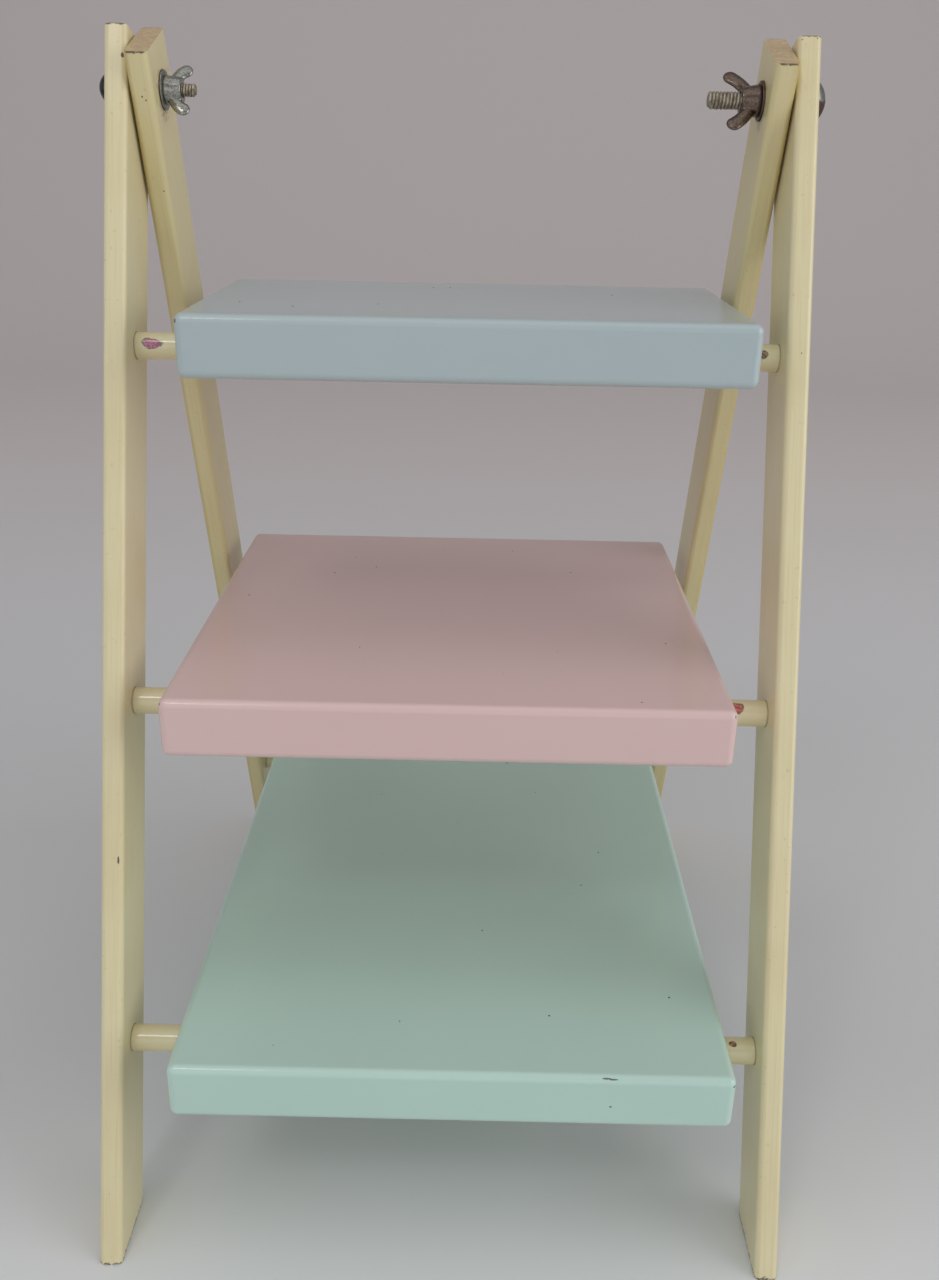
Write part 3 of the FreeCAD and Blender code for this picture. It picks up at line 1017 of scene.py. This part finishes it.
def make_washer(side, material):
    """A stamped washer, rounded on one side and burred on the other."""
    node = f"washer_{side}"
    low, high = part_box(node)
    radius = (high[2] - low[2]) / 2
    thickness = high[0] - low[0]
    bore = THREAD_RADIUS[side] + 0.2 * MM
    soft = 0.3 * MM
    loop = [
        (0.0, bore), (0.0, radius - soft * 0.4), (soft * 0.4, radius),
        (thickness - soft, radius), (thickness - soft * 0.3, radius - soft * 0.3),
        (thickness, radius - soft), (thickness, bore + soft), (thickness - soft, bore),
        (0.0, bore),
    ]
    shape = bmesh.new()
    axes = bolt_axes(side, face_of(node, side, inner=False))
    turned_solid(shape, loop, axes, 64)
    bmesh.ops.remove_doubles(shape, verts=shape.verts, dist=NEAR)
    piece = piece_from(f"{node}_plated", shape, material)
    smooth(piece, 40)
    adopt(piece, node)


def ear_path(side, flip):
    """Centres and radii of the lumps that a cast ear is blended from."""
    radius = EAR_RADIUS[side]
    low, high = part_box(f"wing_nut_{side}")
    height = high[0] - low[0]
    root = Vector((NUT_TOP_RADIUS[side] * 0.7, 0, NUT_HUB_HEIGHT[side] * 0.46))
    tip = Vector((EAR_SPAN[side] / 2 - radius, 0, height - radius))
    steps = 9
    for step in range(steps + 1):
        share = step / steps
        centre = root.lerp(tip, share)
        centre.x += 0.9 * MM * math.sin(math.pi * share)
        width = radius * (0.94 + 0.10 * share**2)
        thickness = EAR_HALF_THICKNESS * (1.35 - 0.45 * share)
        yield Vector((flip * centre.x, centre.y, centre.z)), width, thickness


def make_wing_nut(side, material):
    """A cast hub with two paddle-shaped ears, blended where they meet."""
    node = f"wing_nut_{side}"
    axes = bolt_axes(side, face_of(node, side, inner=False), EAR_TURN[side])
    base, top = NUT_BASE_RADIUS[side], NUT_TOP_RADIUS[side]
    hub_height = NUT_HUB_HEIGHT[side]
    shape = bmesh.new()
    turned_solid(shape, [(0.0, 0.0), (0.0, base), (0.5 * MM, base), (hub_height, top),
                         (hub_height, 0.0)], Matrix(), 48)
    for flip in (-1, 1):
        for centre, width, thickness in ear_path(side, flip):
            ball = bmesh.ops.create_icosphere(shape, subdivisions=3, radius=1.0)["verts"]
            for vert in ball:
                vert.co = centre + Vector(
                    (vert.co.x * width, vert.co.y * thickness, vert.co.z * width)
                )
    piece = piece_from(f"{node}_cast", shape, material)
    blended = piece.modifiers.new("cast_blend", "REMESH")
    blended.mode = "VOXEL"
    blended.voxel_size = 0.24 * MM
    softened = piece.modifiers.new("soften", "SMOOTH")
    softened.factor = 0.6
    softened.iterations = 6
    settle(piece)
    bore = bmesh.new()
    hole = THREAD_RADIUS[side] + HOLE_CLEARANCE
    drill(bore, (0, 0, -1 * MM), hub_height + 2 * MM, hole, Matrix())
    carve(piece, piece_from("bore_cutter", bore, material))
    piece.data.transform(axes)
    smooth(piece, 45)
    adopt(piece, node)


# ---- making the stand ------------------------------------------------------

THREAD = thread_network()
NIBS = nib_network()


def on_rung(y, z, turn):
    """The (y, z) on a rung's surface, turned up from its front about its centre."""
    turn = math.radians(turn)
    return y - RUNG_RADIUS * math.cos(turn), z + RUNG_RADIUS * math.sin(turn)


def bared_spots(level, leg_face):
    """Where a front rung's cream is chipped through: centres, radii and colours."""
    _, y, z = middle_of(f"front_rung_{level}")
    board_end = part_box(f"tray_{level}")[1][0]
    past, turn, reach, shade = BARED_END[level]
    radii = [reach * share * MM for share in (1.0, 0.9, 0.8)]
    spots = [((board_end + past * MM, *on_rung(y, z, turn)), radii, shade)]
    if level == "upper":
        inwards, turn, radii = BARED_PINK
        centre = (-leg_face + inwards * MM, *on_rung(y, z, turn))
        spots.append((centre, [radius * MM for radius in radii], OLD_PINK))
    return spots


def make_legs():
    """The four legs, each with its own nicks, and the rear ones in a darker, yellower cream as
    painted shade, and stained.
    """
    rear_outer = abs(face_of("rear_leg_left", "left", inner=False))
    for number, (node_frame, side) in enumerate(LEG_NICKS):
        feet = FRAMES[node_frame]
        nicks = []
        for x, along, radii in LEG_NICKS[node_frame, side]:
            y, z = leg_point(feet, -LEG_WIDTH / 2, along * MM)
            nicks.append(((x * MM, y, z), [radius * MM for radius in radii]))
        paint, crevice_x, stains = CREAM, None, []
        if node_frame == "rear":
            # Painted shade: the rear legs take a darker, yellower cream for their shade and the
            # light bounced off the front legs.
            paint, crevice_x = CREAM_PAINTED_SHADE, rear_outer
            inner_x = face_of(f"rear_leg_{side}", side, inner=True)
            radii = [radius * MM for radius in BOLT_STAIN[side]]
            stains = [((inner_x, HINGE.y, HINGE.z - 1 * MM), radii)]
        name = f"cream_{node_frame}_{side}"
        material = leg_paint(name, feet, paint, crevice_x, nicks, stains)
        make_leg(node_frame, side, material, 20 + number * 31)


def make_rungs():
    for node_frame in FRAMES:
        leg_face = abs(face_of(f"{node_frame}_leg_left", "left", inner=True))
        for number, level in enumerate(LEVELS):
            chips = bared_spots(level, leg_face) if node_frame == "front" else []
            material = rung_paint(f"cream_rung_{node_frame}_{level}", chips, leg_face)
            make_rung(node_frame, level, material, number * 17)


def marks_on(level, marks):
    """Marks in a board's front edge, as centres and radii in the stand's own place."""
    low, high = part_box(f"tray_{level}")
    starts = {"left": (low[0], 1), "right": (high[0], -1), "middle": (0.0, 1)}
    placed = []
    for start, inwards, back, down, radii in marks:
        end_x, way = starts[start]
        centre = (end_x + way * inwards * MM, low[1] + back * MM, high[2] - down * MM)
        placed.append((centre, [radius * MM for radius in radii]))
    return placed


def make_boards():
    speck = dust_nib()
    for number, level in enumerate(LEVELS):
        nicks = marks_on(level, BOARD_NICKS[level])
        scratches = marks_on(level, BOARD_SCRATCHES[level])
        paint, pale_tone_and_highlight = BOARD_COLOURS[level]
        material = board_paint(
            f"{level}_board_paint", f"tray_{level}", paint, pale_tone_and_highlight, nicks, scratches
        )
        piece = make_board(level, material)
        scatter_nibs(level, piece, speck, seed=5 + number)


def scatter_nibs(level, board, speck, seed):
    """A piece of its own with the dust specks on one board."""
    nibs = bpy.data.objects.new(f"tray_{level}_nibs", board.data.copy())
    bpy.context.scene.collection.objects.link(nibs)
    NIBS.put_on(nibs, {
        "Density": NIBS_PER_M2,
        "Smallest": NIB_RADII[0],
        "Largest": NIB_RADII[1],
        "Seed": seed,
        "Speck": speck,
    })
    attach(nibs, BODY_OF[f"tray_{level}"])


def make_hinge():
    for side in SIDES:
        head_x = face_of(f"front_leg_{side}", side, inner=False)
        leg_x = face_of(f"washer_{side}", side, inner=False)
        nut_x = face_of(f"wing_nut_{side}", side, inner=False)
        rusted = HEAD_RUST_BELOW[side]
        head = plated_steel(f"{side}_head_steel", HEAD_WEAR[side], head_x, rusted)
        washer = plated_steel(f"{side}_washer_steel", WASHER_WEAR[side], leg_x)
        nut = plated_steel(f"{side}_nut_steel", NUT_WEAR[side], nut_x)
        grease = THREAD_GREASE[side]
        thread = thread_steel(f"{side}_thread_steel", THREAD_RADIUS[side], grease)
        make_bolt(side, head, thread)
        make_washer(side, washer)
        make_wing_nut(side, nut)


# ---- the studio ------------------------------------------------------------

PAPER = (tone(216, 216, 217), tone(210, 210, 211))
# Painted light: a lighter paper tone for the floor just in front of the stand.
PAPER_LIT = tone(232, 234, 234)
PAPER_WALL = tone(220, 211, 210)

SKY_COLOUR = (0.96, 0.97, 1.0, 1.0)
SKY_STRENGTH = 0.36
LIT_POINT = (0.0, 0.0, 0.2)
# Name, place and size in metres, and watts.
LIGHTS = (
    ("front_window", (-0.3, -2.8, 0.8), (2.8, 1.6), 7.4),
    ("right_window", (2.0, -0.8, 0.9), (1.8, 1.6), 17.6),
    ("left_fill", (-2.0, -0.8, 0.9), (1.8, 1.6), 4.6),
    ("ceiling", (0.0, -0.6, 2.4), (2.8, 2.2), 9.3),
    ("lamp", (-0.6, -1.3, 1.8), (0.35, 0.35), 2.6),
)

CAMERA_PLACE = (8.8 * MM, -466.2 * MM, 383.4 * MM)
CAMERA_LENS = 33.05
CAMERA_SENSOR = 36.0
CAMERA_PITCH = math.radians(22.87)
CAMERA_YAW = math.radians(-0.29)
CAMERA_ROLL = math.radians(-1.09)


def make_floor():
    """A pale paper sweep: flat under the stand, and curved up far behind it."""
    finish = Finish("pale_paper")
    patches = finish.cloud(finish.place, 3.0, 2.0)
    deep = finish.axes(finish.place)[1]
    colour = finish.blend(*PAPER, patches)
    # Painted light: the paper is lighter in front of and under the stand's front, where its
    # shadow falls.
    colour = finish.blend(colour, PAPER_LIT, deep.fall(-0.22, -0.03))
    colour = finish.blend(colour, PAPER_WALL, deep.rise(0.2, 1.4))
    paper = finish.surface(base_color=colour, roughness=0.7)
    near, bend, radius, top = -4.0, 1.6, 1.4, 4.0
    line = [(near, 0.0), (bend, 0.0)]
    steps = 24
    for step in range(1, steps + 1):
        angle = math.radians(90) * step / steps
        line.append((bend + radius * math.sin(angle), radius * (1 - math.cos(angle))))
    line.append((bend + radius, top))
    half_width = 5.0
    shape = bmesh.new()
    pairs = [
        (shape.verts.new((-half_width, y, z)), shape.verts.new((half_width, y, z)))
        for y, z in line
    ]
    for (a, b), (c, d) in zip(pairs, pairs[1:]):
        shape.faces.new((a, b, d, c))
    mesh = bpy.data.meshes.new("paper_sweep")
    shape.to_mesh(mesh)
    shape.free()
    mesh.materials.append(paper)
    mesh.shade_smooth()
    floor = bpy.data.objects.new("paper_sweep", mesh)
    bpy.context.scene.collection.objects.link(floor)


def make_light(name, place, size, power):
    """A soft square light that faces the stand."""
    data = bpy.data.lights.new(name, "AREA")
    data.shape = "RECTANGLE"
    data.size, data.size_y = size
    data.energy = power
    light = bpy.data.objects.new(name, data)
    light.location = place
    direction = Vector(LIT_POINT) - Vector(place)
    light.rotation_euler = direction.to_track_quat("-Z", "Y").to_euler()
    bpy.context.scene.collection.objects.link(light)


def make_studio():
    make_floor()
    world = bpy.data.worlds.new("studio")
    world.use_nodes = True
    sky = world.node_tree.nodes["Background"]
    sky.inputs["Color"].default_value = SKY_COLOUR
    sky.inputs["Strength"].default_value = SKY_STRENGTH
    bpy.context.scene.world = world
    for name, place, size, power in LIGHTS:
        make_light(name, place, size, power)


def make_camera():
    """A hand-held view from the front, a little above the hinge."""
    data = bpy.data.cameras.new("camera")
    data.sensor_width = CAMERA_SENSOR
    data.lens = CAMERA_LENS
    camera = bpy.data.objects.new("camera", data)
    turn = (
        Matrix.Rotation(-CAMERA_YAW, 4, "Z")
        @ Matrix.Rotation(math.radians(90) - CAMERA_PITCH, 4, "X")
        @ Matrix.Rotation(-CAMERA_ROLL, 4, "Z")
    )
    camera.matrix_world = Matrix.Translation(CAMERA_PLACE) @ turn
    bpy.context.scene.collection.objects.link(camera)
    bpy.context.scene.camera = camera
    bpy.context.scene.view_settings.view_transform = "Standard"


make_legs()
make_rungs()
make_boards()
make_hinge()
make_studio()
make_camera()
